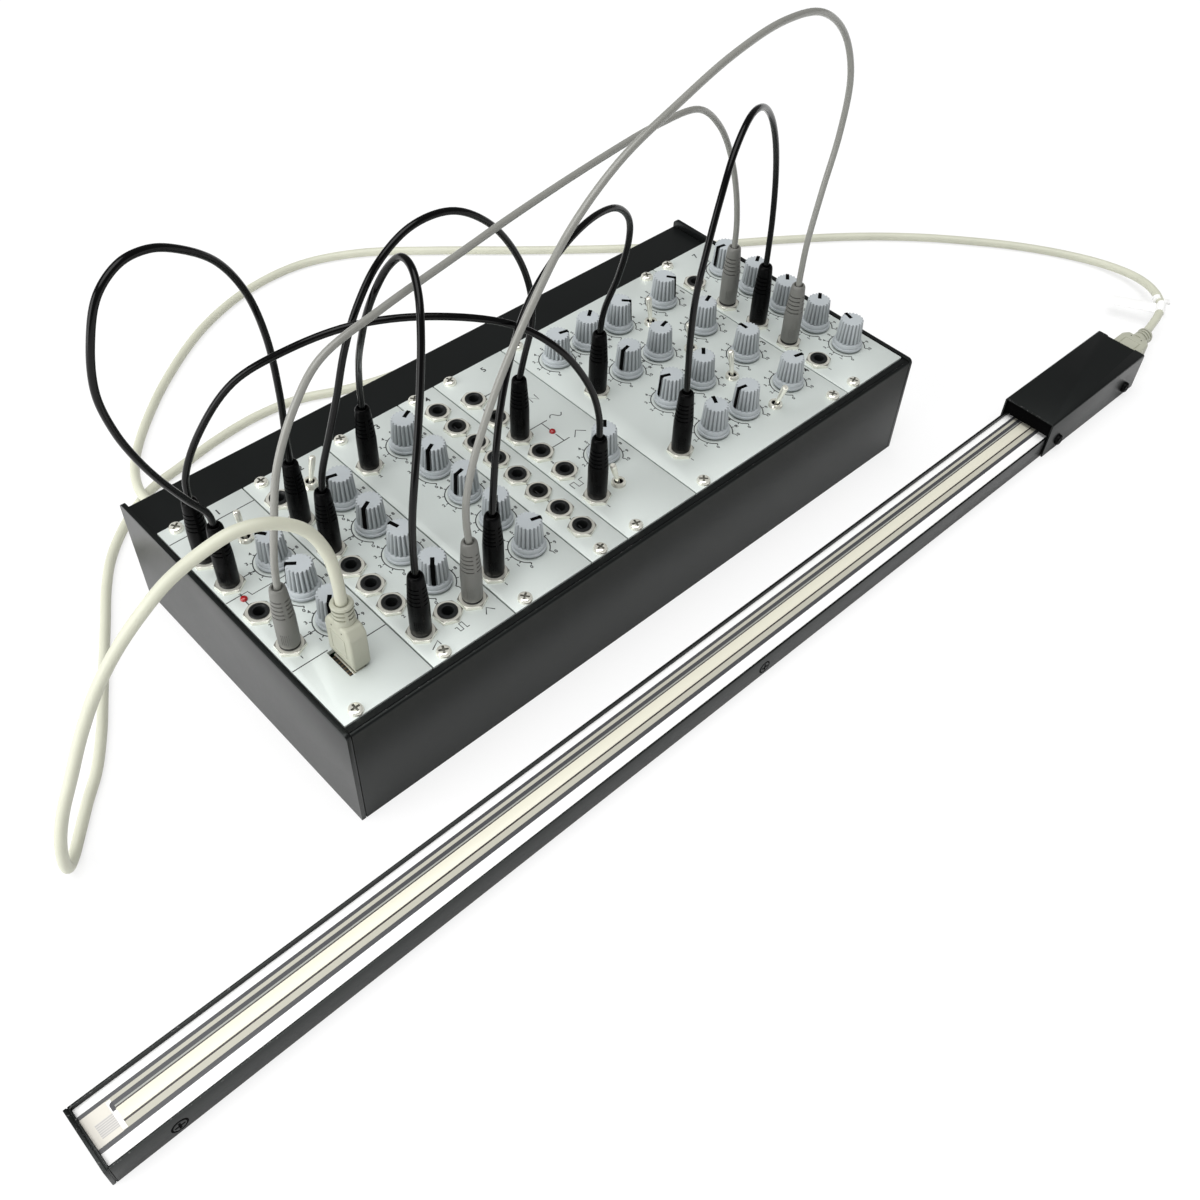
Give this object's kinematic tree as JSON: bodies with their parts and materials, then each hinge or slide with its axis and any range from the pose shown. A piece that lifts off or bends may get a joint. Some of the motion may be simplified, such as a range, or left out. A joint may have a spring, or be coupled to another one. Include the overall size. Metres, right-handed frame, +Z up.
{
  "type": "modular synthesizer",
  "caption": "Desktop modular synthesizer: panels of knobs, switches and jacks in a low metal case, patched with leads and wired to a ribbon controller",
  "frame": {"origin": "on the floor, under the middle of the case and the ribbon controller taken together, without the cords", "axes": "+X to the player's right along the panels and the ribbon, +Y to the back of the case, +Z up"},
  "size_m": [0.6935, 0.383, 0.2273],
  "materials": {
    "case_paint": "satin black",
    "panel_aluminium": "fine matt silver, printed in black",
    "knob_plastic": "matt grey",
    "switch_lever": "bright nickel",
    "sensor_strip": "cream film",
    "lead_black": "satin",
    "lead_grey": "satin",
    "cable_ivory": "satin"
  },
  "bodies": {
    "root": {"case_tray": "case_paint", "side_plate_left": "case_paint", "side_plate_right": "case_paint", "ribbon_interface_panel": "panel_aluminium", "oscillator_panel": "panel_aluminium", "divider_panel": "panel_aluminium", "multiple_panel": "panel_aluminium", "lfo_panel": "panel_aluminium", "formant_filter_panel": "panel_aluminium", "amplifier_panel": "panel_aluminium", "ribbon_channel": "case_paint", "ribbon_sensor": "sensor_strip", "ribbon_cover": "case_paint", "patch_lead_1": "lead_black", "patch_lead_2": "lead_black", "patch_lead_3": "lead_black", "patch_lead_4": "lead_black", "patch_lead_5": "lead_black", "patch_lead_6": "lead_black", "patch_lead_7": "lead_grey", "patch_lead_8": "lead_grey", "control_cable": "cable_ivory"},
    "ribbon_interface_knob_1": {"ribbon_interface_knob_1": "knob_plastic"},
    "ribbon_interface_knob_2": {"ribbon_interface_knob_2": "knob_plastic"},
    "ribbon_interface_knob_3": {"ribbon_interface_knob_3": "knob_plastic"},
    "ribbon_interface_toggle_1": {"ribbon_interface_toggle_1": "switch_lever"},
    "oscillator_knob_1": {"oscillator_knob_1": "knob_plastic"},
    "oscillator_knob_2": {"oscillator_knob_2": "knob_plastic"},
    "oscillator_knob_3": {"oscillator_knob_3": "knob_plastic"},
    "oscillator_knob_4": {"oscillator_knob_4": "knob_plastic"},
    "oscillator_toggle_1": {"oscillator_toggle_1": "switch_lever"},
    "divider_knob_1": {"divider_knob_1": "knob_plastic"},
    "divider_knob_2": {"divider_knob_2": "knob_plastic"},
    "divider_knob_3": {"divider_knob_3": "knob_plastic"},
    "divider_knob_4": {"divider_knob_4": "knob_plastic"},
    "divider_knob_5": {"divider_knob_5": "knob_plastic"},
    "lfo_knob_1": {"lfo_knob_1": "knob_plastic"},
    "lfo_toggle_1": {"lfo_toggle_1": "switch_lever"},
    "formant_filter_knob_1": {"formant_filter_knob_1": "knob_plastic"},
    "formant_filter_knob_2": {"formant_filter_knob_2": "knob_plastic"},
    "formant_filter_knob_3": {"formant_filter_knob_3": "knob_plastic"},
    "formant_filter_knob_4": {"formant_filter_knob_4": "knob_plastic"},
    "formant_filter_knob_5": {"formant_filter_knob_5": "knob_plastic"},
    "formant_filter_knob_6": {"formant_filter_knob_6": "knob_plastic"},
    "formant_filter_knob_7": {"formant_filter_knob_7": "knob_plastic"},
    "formant_filter_knob_8": {"formant_filter_knob_8": "knob_plastic"},
    "formant_filter_knob_9": {"formant_filter_knob_9": "knob_plastic"},
    "formant_filter_knob_10": {"formant_filter_knob_10": "knob_plastic"},
    "formant_filter_knob_11": {"formant_filter_knob_11": "knob_plastic"},
    "formant_filter_knob_12": {"formant_filter_knob_12": "knob_plastic"},
    "formant_filter_knob_13": {"formant_filter_knob_13": "knob_plastic"},
    "formant_filter_toggle_1": {"formant_filter_toggle_1": "switch_lever"},
    "formant_filter_toggle_2": {"formant_filter_toggle_2": "switch_lever"},
    "formant_filter_toggle_3": {"formant_filter_toggle_3": "switch_lever"},
    "formant_filter_toggle_4": {"formant_filter_toggle_4": "switch_lever"},
    "amplifier_knob_1": {"amplifier_knob_1": "knob_plastic"},
    "amplifier_knob_2": {"amplifier_knob_2": "knob_plastic"},
    "amplifier_knob_3": {"amplifier_knob_3": "knob_plastic"},
    "amplifier_knob_4": {"amplifier_knob_4": "knob_plastic"},
    "amplifier_knob_5": {"amplifier_knob_5": "knob_plastic"}
  },
  "joints": [
    {"name": "ribbon_interface_knob_1_turn", "type": "hinge", "parent": "root", "child": "ribbon_interface_knob_1", "pos_m": [-0.13537, -0.0015, 0.05604], "axis": [0, 0, 1], "range_deg": [-285, 5]},
    {"name": "ribbon_interface_knob_2_turn", "type": "hinge", "parent": "root", "child": "ribbon_interface_knob_2", "pos_m": [-0.13537, 0.01891, 0.05604], "axis": [0, 0, 1], "range_deg": [-197, 93]},
    {"name": "ribbon_interface_knob_3_turn", "type": "hinge", "parent": "root", "child": "ribbon_interface_knob_3", "pos_m": [-0.13537, 0.03931, 0.05604], "axis": [0, 0, 1], "range_deg": [-181, 109]},
    {"name": "ribbon_interface_toggle_1_throw", "type": "hinge", "parent": "root", "child": "ribbon_interface_toggle_1", "pos_m": [-0.13706, 0.0572, 0.0551], "axis": [1, 0, 0], "range_deg": [0, 26]},
    {"name": "oscillator_knob_1_turn", "type": "hinge", "parent": "root", "child": "oscillator_knob_1", "pos_m": [-0.09473, -0.0117, 0.05604], "axis": [0, 0, 1], "range_deg": [-287, 3]},
    {"name": "oscillator_knob_2_turn", "type": "hinge", "parent": "root", "child": "oscillator_knob_2", "pos_m": [-0.09473, 0.0087, 0.05604], "axis": [0, 0, 1], "range_deg": [-160, 130]},
    {"name": "oscillator_knob_3_turn", "type": "hinge", "parent": "root", "child": "oscillator_knob_3", "pos_m": [-0.09473, 0.02911, 0.05604], "axis": [0, 0, 1], "range_deg": [-264, 26]},
    {"name": "oscillator_knob_4_turn", "type": "hinge", "parent": "root", "child": "oscillator_knob_4", "pos_m": [-0.09473, 0.04952, 0.05604], "axis": [0, 0, 1], "range_deg": [-220, 70]},
    {"name": "oscillator_toggle_1_throw", "type": "hinge", "parent": "root", "child": "oscillator_toggle_1", "pos_m": [-0.09962, 0.06571, 0.0563], "axis": [0, 1, 0], "range_deg": [-26, 0]},
    {"name": "divider_knob_1_turn", "type": "hinge", "parent": "root", "child": "divider_knob_1", "pos_m": [-0.05409, -0.02191, 0.05604], "axis": [0, 0, 1], "range_deg": [-39, 251]},
    {"name": "divider_knob_2_turn", "type": "hinge", "parent": "root", "child": "divider_knob_2", "pos_m": [-0.05409, -0.0015, 0.05604], "axis": [0, 0, 1], "range_deg": [-285, 5]},
    {"name": "divider_knob_3_turn", "type": "hinge", "parent": "root", "child": "divider_knob_3", "pos_m": [-0.05409, 0.01891, 0.05604], "axis": [0, 0, 1], "range_deg": [-247, 43]},
    {"name": "divider_knob_4_turn", "type": "hinge", "parent": "root", "child": "divider_knob_4", "pos_m": [-0.05409, 0.03931, 0.05604], "axis": [0, 0, 1], "range_deg": [-263, 27]},
    {"name": "divider_knob_5_turn", "type": "hinge", "parent": "root", "child": "divider_knob_5", "pos_m": [-0.05409, 0.05972, 0.05604], "axis": [0, 0, 1], "range_deg": [-82, 208]},
    {"name": "lfo_knob_1_turn", "type": "hinge", "parent": "root", "child": "lfo_knob_1", "pos_m": [0.00687, -0.0015, 0.05604], "axis": [0, 0, 1], "range_deg": [-102, 188]},
    {"name": "lfo_toggle_1_throw", "type": "hinge", "parent": "root", "child": "lfo_toggle_1", "pos_m": [-0.00062, -0.0189, 0.0551], "axis": [0, 1, 0], "range_deg": [0, 35.6]},
    {"name": "formant_filter_knob_1_turn", "type": "hinge", "parent": "root", "child": "formant_filter_knob_1", "pos_m": [0.05512, -0.0222, 0.05604], "axis": [0, 0, 1], "range_deg": [-116, 174]},
    {"name": "formant_filter_knob_2_turn", "type": "hinge", "parent": "root", "child": "formant_filter_knob_2", "pos_m": [0.07552, -0.0222, 0.05604], "axis": [0, 0, 1], "range_deg": [-224, 66]},
    {"name": "formant_filter_knob_3_turn", "type": "hinge", "parent": "root", "child": "formant_filter_knob_3", "pos_m": [0.10592, -0.0222, 0.05604], "axis": [0, 0, 1], "range_deg": [-42, 248]},
    {"name": "formant_filter_knob_4_turn", "type": "hinge", "parent": "root", "child": "formant_filter_knob_4", "pos_m": [0.05512, 0.0054, 0.05604], "axis": [0, 0, 1], "range_deg": [-214, 76]},
    {"name": "formant_filter_knob_5_turn", "type": "hinge", "parent": "root", "child": "formant_filter_knob_5", "pos_m": [0.07552, 0.0054, 0.05604], "axis": [0, 0, 1], "range_deg": [-99, 191]},
    {"name": "formant_filter_knob_6_turn", "type": "hinge", "parent": "root", "child": "formant_filter_knob_6", "pos_m": [0.10592, 0.0054, 0.05604], "axis": [0, 0, 1], "range_deg": [-145, 145]},
    {"name": "formant_filter_knob_7_turn", "type": "hinge", "parent": "root", "child": "formant_filter_knob_7", "pos_m": [0.05512, 0.033, 0.05604], "axis": [0, 0, 1], "range_deg": [-247, 43]},
    {"name": "formant_filter_knob_8_turn", "type": "hinge", "parent": "root", "child": "formant_filter_knob_8", "pos_m": [0.07552, 0.033, 0.05604], "axis": [0, 0, 1], "range_deg": [-71, 219]},
    {"name": "formant_filter_knob_9_turn", "type": "hinge", "parent": "root", "child": "formant_filter_knob_9", "pos_m": [0.10592, 0.033, 0.05604], "axis": [0, 0, 1], "range_deg": [-78, 212]},
    {"name": "formant_filter_knob_10_turn", "type": "hinge", "parent": "root", "child": "formant_filter_knob_10", "pos_m": [0.05512, 0.0606, 0.05604], "axis": [0, 0, 1], "range_deg": [-92, 198]},
    {"name": "formant_filter_knob_11_turn", "type": "hinge", "parent": "root", "child": "formant_filter_knob_11", "pos_m": [0.07552, 0.0606, 0.05604], "axis": [0, 0, 1], "range_deg": [-9, 281]},
    {"name": "formant_filter_knob_12_turn", "type": "hinge", "parent": "root", "child": "formant_filter_knob_12", "pos_m": [0.10592, 0.0606, 0.05604], "axis": [0, 0, 1], "range_deg": [0, 290]},
    {"name": "formant_filter_knob_13_turn", "type": "hinge", "parent": "root", "child": "formant_filter_knob_13", "pos_m": [0.03562, 0.0606, 0.05604], "axis": [0, 0, 1], "range_deg": [-41, 249]},
    {"name": "formant_filter_toggle_1_throw", "type": "hinge", "parent": "root", "child": "formant_filter_toggle_1", "pos_m": [0.08932, -0.0289, 0.0551], "axis": [1, 0, 0], "range_deg": [-32.8, 0]},
    {"name": "formant_filter_toggle_2_throw", "type": "hinge", "parent": "root", "child": "formant_filter_toggle_2", "pos_m": [0.08932, -0.0019, 0.0551], "axis": [1, 0, 0], "range_deg": [0, 23.4]},
    {"name": "formant_filter_toggle_3_throw", "type": "hinge", "parent": "root", "child": "formant_filter_toggle_3", "pos_m": [0.08932, 0.0251, 0.0551], "axis": [1, 0, 0], "range_deg": [0, 24]},
    {"name": "formant_filter_toggle_4_throw", "type": "hinge", "parent": "root", "child": "formant_filter_toggle_4", "pos_m": [0.08932, 0.0521, 0.0551], "axis": [1, 0, 0], "range_deg": [0, 23]},
    {"name": "amplifier_knob_1_turn", "type": "hinge", "parent": "root", "child": "amplifier_knob_1", "pos_m": [0.14911, -0.02191, 0.05604], "axis": [0, 0, 1], "range_deg": [-129, 161]},
    {"name": "amplifier_knob_2_turn", "type": "hinge", "parent": "root", "child": "amplifier_knob_2", "pos_m": [0.14911, -0.0015, 0.05604], "axis": [0, 0, 1], "range_deg": [-91, 199]},
    {"name": "amplifier_knob_3_turn", "type": "hinge", "parent": "root", "child": "amplifier_knob_3", "pos_m": [0.14911, 0.01891, 0.05604], "axis": [0, 0, 1], "range_deg": [-96, 194]},
    {"name": "amplifier_knob_4_turn", "type": "hinge", "parent": "root", "child": "amplifier_knob_4", "pos_m": [0.14911, 0.03931, 0.05604], "axis": [0, 0, 1], "range_deg": [-87, 203]},
    {"name": "amplifier_knob_5_turn", "type": "hinge", "parent": "root", "child": "amplifier_knob_5", "pos_m": [0.14911, 0.05972, 0.05604], "axis": [0, 0, 1], "range_deg": [-224, 66]}
  ]
}
